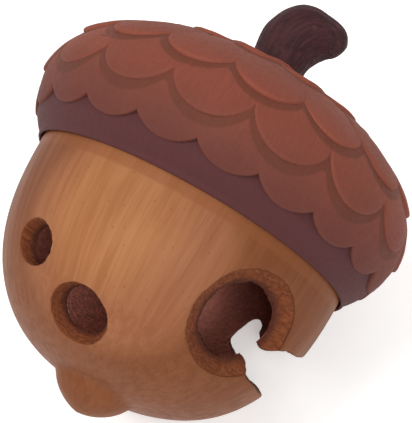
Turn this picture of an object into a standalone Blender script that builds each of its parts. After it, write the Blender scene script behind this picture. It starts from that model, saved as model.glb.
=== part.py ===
"""An acorn lying on its side: a scaly cap, its stem stub, and an empty nut shell with three bored
holes and a broken-out notch.

The acorn is modelled upright about its own axis, stem up, with the cap's rim plane at height 0.
A turn is an angle about that axis, counted from the line that ends up on top once it lies down.
Sizes are in metres.
"""

import math
import random

import bmesh
import bpy
import numpy as np
from mathutils import Matrix, Vector

MM = 0.001

# How the acorn lies: its axis rises toward the stem, and the small flats under it are this deep.
LYING_TILT = math.radians(17.0)
FLAT_DEPTH = 0.12 * MM
# The turn of the side that faces the viewer, and how far the viewer stands below square to it.
FRONT_TURN = math.radians(16.3)
FRONT_TIP = math.radians(11.0)

# Nut shell.
NUT_RADIUS = 12.45 * MM
NUT_BELOW = 14.3 * MM
NUT_ABOVE = 10.6 * MM
NUT_POWER = 2.45
WALL = 1.25 * MM
NUB_RADIUS = 3.1 * MM
NUB_TOP = -14.0 * MM
NUB_LENGTH = 2.25 * MM
NUB_POWER = 1.6
NUT_STEPS = 60

# Bored holes: turn and height on the shell, radius outside and at the shell's inner face, the
# height on the axis that the bore points at, and the bore's width over its height.
HOLES = {
    "hole_small": (math.radians(-36.8), -8.1 * MM, 1.66 * MM, 1.38 * MM, -5.6 * MM, 1.18),
    "hole_middle": (math.radians(-7.7), -11.4 * MM, 2.55 * MM, 1.90 * MM, -4.6 * MM, 1.0),
    "hole_large": (math.radians(54.1), -6.25 * MM, 4.90 * MM, 3.36 * MM, -3.2 * MM, 1.0),
}

# The notch, as the viewer sees it: across from the axis and up from the rim plane, in mm. The
# front outline starts outside the shell and ends inside the large hole.
NOTCH_FRONT = (
    (13.9, -4.1), (12.3, -4.2), (11.8, -4.6), (10.8, -4.5), (9.4, -5.3), (7.6, -5.0),
    (7.2, -5.9), (8.3, -6.2), (8.7, -6.7), (9.2, -7.5), (10.6, -8.0), (11.0, -8.4), (13.9, -9.4),
)
NOTCH_BACK = (
    (13.9, -4.1), (12.3, -4.2), (10.9, -3.9), (9.1, -4.3), (8.4, -3.6), (7.9, -3.6),
    (7.1, -5.9), (7.6, -6.5), (9.2, -7.7), (10.8, -8.3), (13.9, -9.4),
)
NOTCH_DEPTH = 18.0 * MM
NOTCH_FLARE = 1.10

# Cap: the outline over its scales, then the body that carries them.
CAP_RADIUS = 15.0 * MM
CAP_WIDEST = 4.85 * MM
CAP_HEIGHT = 13.15 * MM
CAP_LOW_POWER = 1.5
CAP_HIGH_POWER = 2.1
CAP_GAP = 0.3 * MM
BAND_SINK = 0.15 * MM
BODY_SINK = 0.70 * MM
CAP_STEPS = 54

# Cap scales: count round the cap, height of the lowest edge, radius of that edge, length up the
# cap, and where the row stands against the viewer's side, in pitches.
SCALE_ROWS = (
    (18, 1.65 * MM, 3.3 * MM, 6.0 * MM, 0.0),
    (14, 4.40 * MM, 3.62 * MM, 6.4 * MM, 0.5),
    (14, 7.95 * MM, 3.6 * MM, 7.2 * MM, 0.0),
    (12, 11.70 * MM, 2.9 * MM, 4.6 * MM, 0.5),
    (11, 12.50 * MM, 2.2 * MM, 3.2 * MM, 0.0),
    (9, 12.88 * MM, 1.5 * MM, 1.7 * MM, 0.5),
)
SCALE_LIP = 0.12 * MM
SCALE_FALL = 0.42 * MM
SCALE_CROWN = 0.14 * MM
SCALE_ROOT = 1.25 * MM
SCALE_COLUMNS = 8
SCALE_TIERS = 3
# Each scale stands a little off its even place, up to this turn and this far in or out.
SCALE_SEED = 5
SCALE_SWAY = math.radians(0.35)
SCALE_STIR = 0.03 * MM

# Stem stub: the ends of its cross-sections as the viewer sees them, left then right, each as
# across from the axis and height, in mm.
STEM_SECTIONS = (
    (-2.04, 12.62, 2.04, 12.62), (-2.06, 13.20, 1.98, 13.15), (-2.26, 13.80, 1.86, 13.75),
    (-2.40, 14.85, 1.98, 14.40), (-2.38, 16.05, 2.18, 14.95), (-1.88, 17.40, 2.42, 15.42),
    (-0.95, 18.42, 2.70, 15.78), (0.25, 18.82, 2.98, 16.05), (1.40, 18.78, 3.20, 16.25),
    (2.25, 18.68, 3.38, 16.45), (2.85, 18.50, 3.53, 16.75), (3.25, 18.20, 3.63, 17.10),
    (3.46, 17.88, 3.66, 17.40),
)
STEM_SIDES = 24
STEM_STEPS = 2
SOCKET_RADIUS = 2.42 * MM
SOCKET_FLOOR = 12.30 * MM


def new_collection(name):
    collection = bpy.data.collections.new(name)
    bpy.context.scene.collection.children.link(collection)
    return collection


def new_material(name, colour, roughness):
    material = bpy.data.materials.new(name)
    material.use_nodes = True
    shader = material.node_tree.nodes["Principled BSDF"]
    shader.inputs["Base Color"].default_value = (*colour, 1.0)
    shader.inputs["Roughness"].default_value = roughness
    shader.inputs["Metallic"].default_value = 0.0
    return material


def new_object(name, mesh, collection, parent=None):
    obj = bpy.data.objects.new(name, mesh)
    collection.objects.link(obj)
    obj.parent = parent
    return obj


def new_cutter(name, mesh, collection, parent=None):
    cutter = new_object(name, mesh, collection, parent)
    cutter.hide_render = True
    cutter.display_type = "WIRE"
    return cutter


def add_boolean(target, other, operation):
    boolean = target.modifiers.new(other.name, "BOOLEAN")
    boolean.operation = operation
    if isinstance(other, bpy.types.Collection):
        boolean.operand_type = "COLLECTION"
        boolean.collection = other
    else:
        boolean.object = other


def evaluated_mesh(obj):
    """A new mesh with the object's modifiers applied."""
    graph = bpy.context.evaluated_depsgraph_get()
    return bpy.data.meshes.new_from_object(obj.evaluated_get(graph))


def quarter(radius, height, power, points):
    """A superellipse's quarter, from (0, height) on the axis out to (radius, 0)."""
    turns = [0.5 * math.pi * index / (points - 1) for index in range(points)]
    return [
        (radius * math.sin(turn) ** (2 / power), height * math.cos(turn) ** (2 / power))
        for turn in turns[:-1]
    ] + [(radius, 0.0)]


def nut_outline(grow, nub=True):
    """The nut's outline from its top to its tip, as (radius, height), grown outward by grow."""
    radius = NUT_RADIUS + grow
    above = quarter(radius, NUT_ABOVE + grow, NUT_POWER, 9)
    below = quarter(radius, -NUT_BELOW - grow, NUT_POWER, 14)[::-1]
    if not nub:
        return above + below[1:]
    belly = [point for point in below[1:] if point[0] > NUB_RADIUS * 1.05]
    tip = quarter(NUB_RADIUS, -NUB_LENGTH, NUB_POWER, 7)[::-1]
    return above + belly + [(r, NUB_TOP + h) for r, h in tip]


def turned(name, outline, steps, collection, parent, cutter=False):
    """A solid of revolution about +Z from an outline of (radius, height) points."""
    mesh = bpy.data.meshes.new(name)
    edges = [(index, index + 1) for index in range(len(outline) - 1)]
    mesh.from_pydata([(r, 0.0, h) for r, h in outline], edges, [])
    obj = (new_cutter if cutter else new_object)(name, mesh, collection, parent)
    screw = obj.modifiers.new("turned", "SCREW")
    screw.axis = "Z"
    screw.steps = steps
    screw.render_steps = steps
    screw.use_merge_vertices = True
    screw.merge_threshold = 0.00001
    screw.use_smooth_shade = True
    return obj


def outward(turn):
    """The direction square to the axis at a turn."""
    return Vector((math.cos(turn), math.sin(turn), 0.0))


def nut_radius_at(height):
    reach = NUT_BELOW if height < 0 else NUT_ABOVE
    return NUT_RADIUS * (1 - abs(height / reach) ** NUT_POWER) ** (1 / NUT_POWER)


def bore(name, turn, height, outer, inner, aim, width, collection, parent):
    """A cone through the wall, of radius outer at the shell's outside and inner at its inside."""
    entry = outward(turn) * nut_radius_at(height) + Vector((0.0, 0.0, height))
    along = (entry - Vector((0.0, 0.0, aim))).normalized()
    slope = (outer - inner) / WALL
    deep = WALL + 0.7 * MM
    mesh = bpy.data.meshes.new(name)
    cone = bmesh.new()
    bmesh.ops.create_cone(
        cone, cap_ends=True, segments=36, depth=2 * deep,
        radius1=outer - slope * deep, radius2=outer + slope * deep,
    )
    cone.to_mesh(mesh)
    cone.free()
    cutter = new_cutter(name, mesh, collection, parent)
    aimed = along.to_track_quat("Z", "Y").to_matrix().to_4x4()
    cutter.matrix_local = Matrix.Translation(entry) @ aimed @ Matrix.Diagonal((width, 1.0, 1.0, 1.0))
    return cutter


def view_axes():
    """The viewer's right, up and back directions, beside the upright acorn."""
    front = outward(FRONT_TURN)
    right = outward(FRONT_TURN + 0.5 * math.pi)
    axis = Vector((0.0, 0.0, 1.0))
    up = axis * math.cos(FRONT_TIP) + front * math.sin(FRONT_TIP)
    back = front * math.cos(FRONT_TIP) - axis * math.sin(FRONT_TIP)
    return right, up, back


def notch(name, outline, toward_viewer, collection, parent):
    """A flared prism along the line of sight, from the axis out through one side of the shell."""
    curve = bpy.data.curves.new(name, "CURVE")
    curve.dimensions = "2D"
    curve.fill_mode = "BOTH"
    curve.extrude = 0.5 * NOTCH_DEPTH
    spline = curve.splines.new("POLY")
    spline.points.add(len(outline) - 1)
    for point, (across, up) in zip(spline.points, outline):
        point.co = (across * MM, up * MM, 0.0, 1.0)
    spline.use_cyclic_u = True
    drawn = new_object(name + "_outline", curve, collection)
    mesh = evaluated_mesh(drawn)
    bpy.data.objects.remove(drawn)
    side = 1 if toward_viewer else -1
    middle = Vector((outline[0][0] * MM, 0.5 * (outline[0][1] + outline[-1][1]) * MM))
    prism = bmesh.new()
    prism.from_mesh(mesh)
    bmesh.ops.remove_doubles(prism, verts=prism.verts, dist=0.00001)
    for vert in prism.verts:
        if vert.co.z * side > 0:
            vert.co.xy = middle + (vert.co.xy - middle) * NOTCH_FLARE
        vert.co.z += side * (0.5 * NOTCH_DEPTH - 0.15 * MM)
    bmesh.ops.recalc_face_normals(prism, faces=prism.faces)
    prism.to_mesh(mesh)
    prism.free()
    cutter = new_cutter(name, mesh, collection, parent)
    right, up, back = view_axes()
    cutter.matrix_local = Matrix((right, up, back)).transposed().to_4x4()
    return cutter


def build_nut(parts, cutters, lying):
    nut = turned("nut_shell", nut_outline(0.0), NUT_STEPS, parts, lying)
    hollow = nut_outline(-WALL, nub=False)
    openings = [turned("hollow", hollow, NUT_STEPS, cutters, lying, cutter=True)]
    for name, values in HOLES.items():
        openings.append(bore(name, *values, cutters, lying))
    openings.append(notch("notch_front", NOTCH_FRONT, True, cutters, lying))
    openings.append(notch("notch_back", NOTCH_BACK, False, cutters, lying))
    for cutter in openings:
        add_boolean(nut, cutter, "DIFFERENCE")
    nut.data.materials.append(new_material("nut_shell", (0.42, 0.18, 0.085), 0.42))
    return nut


class Dome:
    """The outline over the cap's scales, as a curve from the rim up to the crown."""

    def __init__(self):
        low = [0.5 * math.pi * (1 - index / 60) for index in range(61)]
        rise = CAP_RADIUS - NUT_RADIUS
        lower = [
            (
                NUT_RADIUS + rise * math.cos(turn) ** (2 / CAP_LOW_POWER),
                CAP_WIDEST * (1 - math.sin(turn) ** (2 / CAP_LOW_POWER)),
            )
            for turn in low
        ]
        upper = quarter(CAP_RADIUS, CAP_HEIGHT - CAP_WIDEST, CAP_HIGH_POWER, 90)[::-1]
        curve = lower + [(r, CAP_WIDEST + h) for r, h in upper[1:]]
        self.radii = np.array([point[0] for point in curve])
        self.heights = np.array([point[1] for point in curve])
        steps = np.hypot(np.diff(self.radii), np.diff(self.heights))
        self.travel = np.concatenate([[0.0], np.cumsum(steps)])

    def travel_at_height(self, height):
        return float(np.interp(height, self.heights, self.travel))

    def travel_at_crown_radius(self, radius):
        widest = int(self.radii.argmax())
        return float(np.interp(-radius, -self.radii[widest:], self.travel[widest:]))

    def point(self, travel, lift=0.0):
        """(radius, height) at a distance from the rim, moved off the curve by lift."""
        travel = min(max(travel, 0.0), self.travel[-1])
        near = np.clip([travel - 0.1 * MM, travel + 0.1 * MM], 0.0, self.travel[-1])
        slope_r = float(np.diff(np.interp(near, self.travel, self.radii))[0])
        slope_h = float(np.diff(np.interp(near, self.travel, self.heights))[0])
        length = math.hypot(slope_r, slope_h)
        radius = float(np.interp(travel, self.travel, self.radii))
        height = float(np.interp(travel, self.travel, self.heights))
        return radius + lift * slope_h / length, height - lift * slope_r / length


def cap_outline(dome):
    """The cap body's outline: stem socket, crown, side and band, then the hollow for the nut."""
    crown = dome.travel_at_crown_radius(SOCKET_RADIUS + 0.45 * MM)
    band = dome.travel_at_height(SCALE_ROWS[0][1])
    outer = []
    for index in range(21):
        travel = crown + (0.95 * MM - crown) * index / 20
        blend = min(max((travel - band) / (1.5 * MM), 0.0), 1.0)
        outer.append(dome.point(travel, -BAND_SINK - blend * (BODY_SINK - BAND_SINK)))
    collar = outer[0][1]
    socket = [(0.0, SOCKET_FLOOR), (SOCKET_RADIUS, SOCKET_FLOOR), (SOCKET_RADIUS, collar)]
    hollow = [point for point in nut_outline(CAP_GAP, nub=False) if point[1] > 0.5 * MM][::-1]
    rim = [(NUT_RADIUS + CAP_GAP + 0.15 * MM, 0.02 * MM), (NUT_RADIUS + CAP_GAP, 0.2 * MM)]
    return socket + outer + rim + hollow


def scale_plate(name, dome, turn, stir, row, collection, parent):
    """One scale: a plate with a half-round lower edge, bent onto the cap and rooted in its body."""
    count, height, radius, length, offset = row
    bottom = dome.travel_at_height(height)
    round_radius = dome.point(bottom)[0]
    plate = bmesh.new()
    bmesh.ops.create_grid(
        plate, x_segments=SCALE_COLUMNS, y_segments=SCALE_TIERS, size=1.0
    )
    geometry = plate.verts[:] + plate.edges[:] + plate.faces[:]
    raised = bmesh.ops.extrude_face_region(plate, geom=geometry, use_keep_orig=True)["geom"]
    outer_face = {item for item in raised if isinstance(item, bmesh.types.BMVert)}
    for vert in plate.verts:
        side = 0.5 * math.pi * vert.co.x
        across = radius * math.sin(side)
        start = radius * (1 - math.cos(side))
        up = start + (length - start) * 0.5 * (vert.co.y + 1)
        if vert in outer_face:
            lift = SCALE_LIP + stir - SCALE_FALL * math.sin(0.5 * math.pi * up / length)
            lift -= SCALE_CROWN * math.sin(side) ** 2
        else:
            lift = -SCALE_ROOT
        ring, level = dome.point(bottom + up, lift)
        vert.co = outward(turn + across / round_radius) * ring + Vector((0.0, 0.0, level))
    bmesh.ops.recalc_face_normals(plate, faces=plate.faces)
    mesh = bpy.data.meshes.new(name)
    plate.to_mesh(mesh)
    plate.free()
    return new_object(name, mesh, collection, parent)


def build_cap(parts, cutters, lying):
    dome = Dome()
    cap = turned("cap", cap_outline(dome), CAP_STEPS, parts, lying)
    scales = new_collection("cap_scales")
    chance = random.Random(SCALE_SEED)
    for number, row in enumerate(SCALE_ROWS, start=1):
        pitch = 2 * math.pi / row[0]
        for index in range(row[0]):
            turn = FRONT_TURN + (index + row[4]) * pitch + chance.uniform(-SCALE_SWAY, SCALE_SWAY)
            stir = chance.uniform(-SCALE_STIR, SCALE_STIR)
            scale_plate(f"scale_{number}_{index + 1}", dome, turn, stir, row, scales, lying)
    add_boolean(cap, scales, "UNION")
    joined = evaluated_mesh(cap)
    cap.modifiers.clear()
    cap.data = joined
    for scale in list(scales.objects):
        bpy.data.objects.remove(scale)
    bpy.data.collections.remove(scales)
    joined.materials.clear()
    joined.materials.append(new_material("cap", (0.22, 0.075, 0.05), 0.75))
    return cap


def stem_sections():
    """The stem's cross-sections, with smoothly placed ones between those that are given."""
    given = [np.array(section) * MM for section in STEM_SECTIONS]
    smooth = []
    for index in range(len(given) - 1):
        near, far = given[index], given[index + 1]
        leave = 0.5 * (far - given[max(index - 1, 0)])
        arrive = 0.5 * (given[min(index + 2, len(given) - 1)] - near)
        for step in range(STEM_STEPS):
            share = step / STEM_STEPS
            square, cube = share**2, share**3
            smooth.append(
                (2 * cube - 3 * square + 1) * near + (cube - 2 * square + share) * leave
                + (3 * square - 2 * cube) * far + (cube - square) * arrive
            )
    return smooth + [given[-1]]


def build_stem(parts, lying):
    across = outward(FRONT_TURN + 0.5 * math.pi)
    front = outward(FRONT_TURN)
    axis = Vector((0.0, 0.0, 1.0))
    work = bmesh.new()
    turn = work.verts.layers.float.new("turn")
    ring = bmesh.ops.create_circle(work, cap_ends=True, segments=STEM_SIDES, radius=1.0)["verts"]
    for vert in ring:
        vert[turn] = math.atan2(vert.co.y, vert.co.x)
    end = next(iter(work.faces))
    for number, (left, left_height, right, right_height) in enumerate(stem_sections()):
        if number:
            grown = bmesh.ops.extrude_face_region(
                work, geom=[end, *end.edges, *end.verts], use_keep_orig=number == 1
            )["geom"]
            end = next(item for item in grown if isinstance(item, bmesh.types.BMFace))
        middle = 0.5 * (across * (left + right) + axis * (left_height + right_height))
        half = 0.5 * (across * (right - left) + axis * (right_height - left_height))
        for vert in end.verts:
            vert.co = middle + half * math.cos(vert[turn]) + front * half.length * math.sin(vert[turn])
    bmesh.ops.recalc_face_normals(work, faces=work.faces)
    mesh = bpy.data.meshes.new("stem")
    work.to_mesh(mesh)
    work.free()
    stem = new_object("stem", mesh, parts, lying)
    mesh.materials.append(new_material("stem", (0.055, 0.025, 0.025), 0.8))
    return stem


def box_of(obj):
    """The lowest and highest corner of an object's finished mesh, in world space."""
    graph = bpy.context.evaluated_depsgraph_get()
    done = obj.evaluated_get(graph)
    mesh = done.to_mesh()
    places = np.empty(len(mesh.vertices) * 3, np.float32)
    mesh.vertices.foreach_get("co", places)
    done.to_mesh_clear()
    world = np.array(done.matrix_world)
    places = places.reshape(-1, 3) @ world[:3, :3].T + world[:3, 3]
    return places.min(axis=0), places.max(axis=0)


def lay_down(lying, solids):
    """Lays the acorn on its side, centred over the origin, its flats at height 0."""
    axis = Vector((0.0, math.cos(LYING_TILT), math.sin(LYING_TILT)))
    topmost = Vector((0.0, -math.sin(LYING_TILT), math.cos(LYING_TILT)))
    lying.matrix_world = Matrix((topmost, axis.cross(topmost), axis)).transposed().to_4x4()
    bpy.context.view_layer.update()
    boxes = {solid.name: box_of(solid) for solid in solids}
    lowest = np.min([box[0] for box in boxes.values()], axis=0)
    highest = np.max([box[1] for box in boxes.values()], axis=0)
    ground = max(boxes["nut_shell"][0][2], boxes["cap"][0][2]) + FLAT_DEPTH
    middle = 0.5 * (lowest + highest)
    lying.location = (-middle[0], -middle[1], -ground)


def main():
    for obj in list(bpy.data.objects):
        bpy.data.objects.remove(obj)
    parts = new_collection("acorn")
    cutters = new_collection("acorn_cutters")
    lying = new_object("acorn_lying", None, parts)
    nut = build_nut(parts, cutters, lying)
    cap = build_cap(parts, cutters, lying)
    stem = build_stem(parts, lying)
    lay_down(lying, (nut, cap, stem))
    block = bpy.data.meshes.new("ground")
    cube = bmesh.new()
    bmesh.ops.create_cube(cube, size=60 * MM)
    cube.to_mesh(block)
    cube.free()
    ground = new_cutter("ground", block, cutters)
    ground.location = (0.0, 0.0, -30 * MM)
    for solid in (nut, cap):
        add_boolean(solid, ground, "DIFFERENCE")
    for solid in (nut, cap, stem):
        solid.data.shade_smooth()
        solid.data.set_sharp_from_angle(angle=math.radians(35))


main()
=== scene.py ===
"""The acorn's finished look: a satin nut shell with bored holes and a broken notch, a cap of
overlapping felted scales, a barky stem stub, and the pale stage that they are seen on.

Each piece is modelled upright in the acorn's own frame, in millimetres: stem up, the cap's rim
plane at height 0, turns counted from the line that ends up on top. One matrix then lays it down.
"""

import math
import random
from types import SimpleNamespace

import bmesh
import bpy
import numpy as np
from bpy.props import FloatProperty, FloatVectorProperty, IntProperty, PointerProperty
from mathutils import Matrix, Vector, noise


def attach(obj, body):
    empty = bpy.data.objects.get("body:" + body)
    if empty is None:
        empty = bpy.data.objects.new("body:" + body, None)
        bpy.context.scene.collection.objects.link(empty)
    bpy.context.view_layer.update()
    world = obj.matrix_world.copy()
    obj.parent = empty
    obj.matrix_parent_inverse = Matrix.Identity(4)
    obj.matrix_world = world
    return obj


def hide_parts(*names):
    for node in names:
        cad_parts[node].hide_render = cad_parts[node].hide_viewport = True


bl_info = {
    "name": "Acorn",
    "version": (1, 0, 0),
    "blender": (4, 5, 0),
    "location": "3D View > Sidebar > Acorn",
    "description": "Builds a lying acorn with a scaly cap and an empty, holed shell",
    "category": "Object",
}

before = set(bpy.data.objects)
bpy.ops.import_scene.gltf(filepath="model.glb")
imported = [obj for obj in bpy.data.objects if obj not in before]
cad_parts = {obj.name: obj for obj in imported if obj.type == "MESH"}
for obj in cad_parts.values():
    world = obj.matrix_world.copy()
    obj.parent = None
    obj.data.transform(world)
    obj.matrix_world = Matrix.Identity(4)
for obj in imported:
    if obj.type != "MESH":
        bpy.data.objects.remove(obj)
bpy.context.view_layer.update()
MM = 0.001

# Lengths below are in millimetres, unless a line says otherwise.

# How the acorn lies in the shared frame.
LYING_TILT = math.radians(17.0)
RIM_CENTRE = Vector((0.001, -1.274, 12.944)) * MM
# The viewer's side, and how far the viewer stands toward the tip from square on.
FRONT_TURN = math.radians(16.3)
FRONT_TIP = math.radians(11.0)

# The nub at the nut's tip: power of its outline, how deep it sinks into the nut, and where the
# nut's own outline stops, in nub radii from the axis.
NUB_POWER = 1.6
NUB_SINK = 0.3
NUB_CLEAR = 1.03425
# The shell's bored holes: turn in degrees, height, radius outside and at the inner face, height
# aimed at, width over height.
HOLES = (
    ("bore_small", -36.8, -8.1, 1.66, 1.38, -5.6, 1.18),
    ("bore_middle", -7.7, -11.4, 2.55, 1.85, -4.6, 1.0),
    ("bore_large", 54.0, -6.45, 5.30, 3.28, -3.2, 1.09),
)
# How far a bore's cutter passes the wall, and how uneven its round is.
BORE_REACH = 0.7
BORE_WAVE = 0.02
BORE_RIPPLE = 0.012
# The notch as the viewer sees it: across from the axis and up from the rim plane.
NOTCH_FRONT = (
    (13.9, -4.1), (12.3, -4.2), (11.8, -4.6), (10.8, -4.5), (9.4, -5.3), (7.6, -5.0),
    (7.2, -5.9), (8.3, -6.2), (8.7, -6.7), (9.2, -7.5), (10.6, -8.0), (11.0, -8.4), (13.9, -9.4),
)
NOTCH_BACK = (
    (13.9, -4.1), (12.3, -4.2), (11.8, -4.5), (10.8, -4.4), (9.4, -5.1), (9.0, -5.0), (8.85, -4.6),
    (8.85, -4.1), (8.5, -3.8), (8.1, -3.8), (7.8, -4.3), (7.15, -6.1), (7.6, -6.5), (9.2, -7.7),
    (10.8, -8.3), (13.9, -9.4),
)
# The notch's cutters: reach, overlap in the middle, spacing of points, and how jagged they are.
NOTCH_REACH = 18.0
NOTCH_OVERLAP = 0.15
NOTCH_SPACING = 0.22
NOTCH_WAVE = 0.10
NOTCH_SPLINTER = 0.09
# How much wider each cutter gets over its reach.
FRONT_FLARE = 1.10
BACK_FLARE = 1.05
# Points nearer to each other than this are merged after the cutting.
MERGE = 0.02
# How far the skin and the felted hollow rise and fall.
SKIN_SWELL = 0.07
HOLLOW_SWELL = 0.12
# Middles of the painted light on the nut's skin, a paler cheek, and of its yellower, brightest core.
PAINTED_LIGHT_MIDDLE = Vector((12.0, -0.3, -5.5))
PAINTED_LIGHT_CORE = Vector((12.0, -1.7, -4.5))
# Powers of the cap's outline under and over its widest line, where 2 is an ellipse.
LOWER_POWER = 1.5
UPPER_POWER = 2.1
# The cap's floor under the stem, its lip round that, and its gap to the nut.
SOCKET_RADIUS = 2.42
SOCKET_FLOOR = 12.3
SOCKET_LIP = 0.45
RIM_GAP = 0.12
# How deep the cap's body lies under its outline, at the plain band and under the scales, and
# over what length the one turns into the other.
BAND_SINK = 0.15
BODY_SINK = 0.70
SINK_BLEND = 1.5
# Where the band ends above the rim, along the outline, and the rim's own outline: out from the
# gap, and height.
BAND_END = 0.70
RIM_OUTLINE = ((0.31, 0.30), (0.27, 0.14), (0.19, 0.04), (0.10, 0.02), (0.03, 0.10), (0.0, 0.3))
# Cap scales: count, height of the lowest edge, radius of that edge, length, offset in pitches.
SCALE_ROWS = (
    (18, 1.65, 3.3, 6.0, 0.0),
    (14, 4.40, 3.62, 6.4, 0.5),
    (14, 7.95, 3.6, 8.8, 0.0),
    (12, 11.70, 2.9, 4.8, 0.5),
    (11, 12.50, 2.2, 3.2, 0.0),
    (9, 12.88, 1.5, 1.7, 0.5),
)
# How deep a scale roots, how far it turns and rises by chance, the rounding of its edge, and its
# broad and fine unevenness.
SCALE_ROOT = 0.95
SCALE_SWAY = math.radians(0.35)
SCALE_STIR = 0.03
EDGE_ROUND = 0.24
SCALE_WAVE = 0.035
SCALE_RIPPLE = 0.012
# How far below the next row's edge a point is marked with its distance from that edge.
SHADE_REACH = 4.0
# Quads across and along a scale, and steps round the cap and the shell's hollow.
SCALE_QUADS = (26, 19)
ROUND_STEPS = 216
# The ends of the stem's cross-sections, left then right: across from the axis, and height.
STEM_SECTIONS = (
    (-2.32, 12.42, 2.32, 12.42), (-2.26, 12.95, 2.22, 12.92), (-2.22, 13.60, 1.92, 13.50),
    (-2.40, 14.85, 1.98, 14.40), (-2.38, 16.05, 2.18, 14.95), (-1.88, 17.40, 2.42, 15.42),
    (-0.95, 18.42, 2.70, 15.78), (0.25, 18.82, 2.98, 16.05), (1.40, 18.78, 3.20, 16.25),
    (2.25, 18.68, 3.38, 16.45), (2.85, 18.50, 3.53, 16.75), (3.25, 18.20, 3.63, 17.10),
    (3.46, 17.88, 3.66, 17.40),
)
# Height of the stem's broad knobs.
STEM_KNOBS = 0.04
# The photo's longer side in pixels, how far the acorn leans in it, and where its middle lies: so
# many pixels across the acorn, and toward its tip, from a point on the axis above the rim.
PHOTO_SIDE = 423
PHOTO_LEAN = math.radians(30.0)
PHOTO_ACROSS = 9.05
PHOTO_DOWN = 80.2
AXIS_POINT = 7.36
# Lamps: name, the way to it as shares of the viewer's right, up and back, distance and size in
# metres, and colour. They are aimed at one point in the acorn, in metres.
LAMPS = (
    ("key", (-0.50, 0.45, 0.80), 0.42, 0.30, (1.0, 0.975, 0.94)),
    ("fill", (0.12, -0.05, 1.0), 0.45, 0.12, (1.0, 0.99, 0.97)),
)
LAMPS_AIM = Vector((0.0, 0.0, 0.012))
# The floor's reach to each side, and how far it lies below the ground's level, in metres.
FLOOR_REACH = 3.0
FLOOR_DROP = 0.02 * MM


def own_to_row():
    """The matrix from the acorn's own frame, in millimetres, to the shared frame, in metres."""
    axis = Vector((0.0, math.cos(LYING_TILT), math.sin(LYING_TILT)))
    topmost = Vector((0.0, -math.sin(LYING_TILT), math.cos(LYING_TILT)))
    turned = Matrix((topmost, axis.cross(topmost), axis)).transposed().to_4x4()
    return Matrix.Translation(RIM_CENTRE) @ turned @ Matrix.Scale(MM, 4)


def outward(turn):
    """The direction away from the acorn's axis at a turn."""
    return Vector((math.cos(turn), math.sin(turn), 0.0))


def smooth_step(low, high, value):
    """The value's place from low to high, from 0 to 1 and eased at both ends."""
    share = min(max((value - low) / (high - low), 0.0), 1.0)
    return share * share * (3 - 2 * share)


# Settings that a user would change.


def length(name, description, default):
    """A length: given in millimetres here, kept in metres."""
    return FloatProperty(
        name=name, description=description, default=default * MM, subtype="DISTANCE", precision=5
    )


def colour(name, description, default):
    return FloatVectorProperty(
        name=name, description=description, default=default, subtype="COLOR", min=0.0, max=1.0
    )


class AcornShellSettings(bpy.types.PropertyGroup):
    radius: length("Radius", "Nut's radius at the cap's rim", 12.45)
    below: length("Below", "Nut's reach from the rim to its tip", 14.3)
    above: length("Above", "Nut's reach up into the cap", 10.6)
    fullness: FloatProperty(
        name="Fullness", description="Power of the nut's outline: 2 is an ellipse", default=2.45
    )
    wall: length("Wall", "Shell's thickness", 1.25)
    nub_radius: length("Nub", "Radius of the nub at the tip", 3.1)
    nub_length: length("Nub length", "Length of the nub at the tip", 2.25)
    steps: IntProperty(name="Steps", description="Steps round the shell", default=264, min=24)
    # Skin and cheek are painted light on the nut: the tan of its lit side, yellower at the core.
    skin: colour("Skin", "Tan in the middle of the paler cheek", (0.330, 0.142, 0.060))
    cheek: colour("Cheek", "Redder tan round that", (0.265, 0.107, 0.052))
    streaks: colour("Streaks", "What the tan is multiplied by in its streaks", (0.80, 0.72, 0.66))
    # Shaded and shaded streaks are painted shade round the painted light.
    shaded: colour("Shaded", "Brown round the cheek", (0.184, 0.065, 0.028))
    shaded_streaks: colour("Shaded streaks", "Darker streaks round it", (0.148, 0.049, 0.020))
    # Painted shadow that the cap casts on the nut just below its rim.
    painted_cap_shadow: colour("Collar", "Band that the cap's rim leaves on the nut", (0.200, 0.068, 0.026))
    fleck: colour("Flecks", "Dark specks on the skin", (0.110, 0.034, 0.015))
    torn: colour("Torn", "Bored and broken walls", (0.198, 0.061, 0.025))
    fibre: colour("Fibres", "Darker fibres in those walls", (0.120, 0.033, 0.014))
    # Stain: random dark patches in the felted lining, and painted shade at the inner edge of the torn
    # walls.
    stain_and_painted_shade: colour("Stain", "Dark inner edge of those walls", (0.060, 0.018, 0.013))
    lining: colour("Lining", "Felted inside of the shell", (0.92, 0.36, 0.27))
    # Dark lining: painted shade on the inside toward the notch.
    lining_painted_shade: colour("Dark lining", "Inside beside the notch", (0.30, 0.10, 0.075))


class AcornCapSettings(bpy.types.PropertyGroup):
    radius: length("Radius", "Cap's radius over its scales", 15.0)
    widest: length("Widest", "Height of the widest line above the rim", 4.85)
    height: length("Height", "Crown above the rim", 13.15)
    lip: length("Lip", "Height of a scale's edge over the cap's outline", 0.05)
    fall: length("Fall", "How far a scale sinks from its edge to its root", 0.28)
    valley: length("Valley", "Depth of the valley between two neighbours", 0.07)
    seed: IntProperty(name="Seed", description="Seed of the scales' unevenness", default=5)
    upper: colour("Upper", "Scales near the stem", (0.222, 0.060, 0.038))
    lower: colour("Lower", "Scales near the rim", (0.098, 0.031, 0.025))
    band: colour("Band", "Plain band under the scales", (0.070, 0.023, 0.026))
    worn: colour("Worn", "Rubbed edges of the scales", (0.270, 0.085, 0.052))
    # Under: painted shadow below a scale's edge, cast by the row over it.
    under: colour("Under", "Dark line below a scale's edge", (0.080, 0.028, 0.017))
    hairs: colour("Hairs", "Darker felt on the scales", (0.105, 0.030, 0.020))


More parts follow.
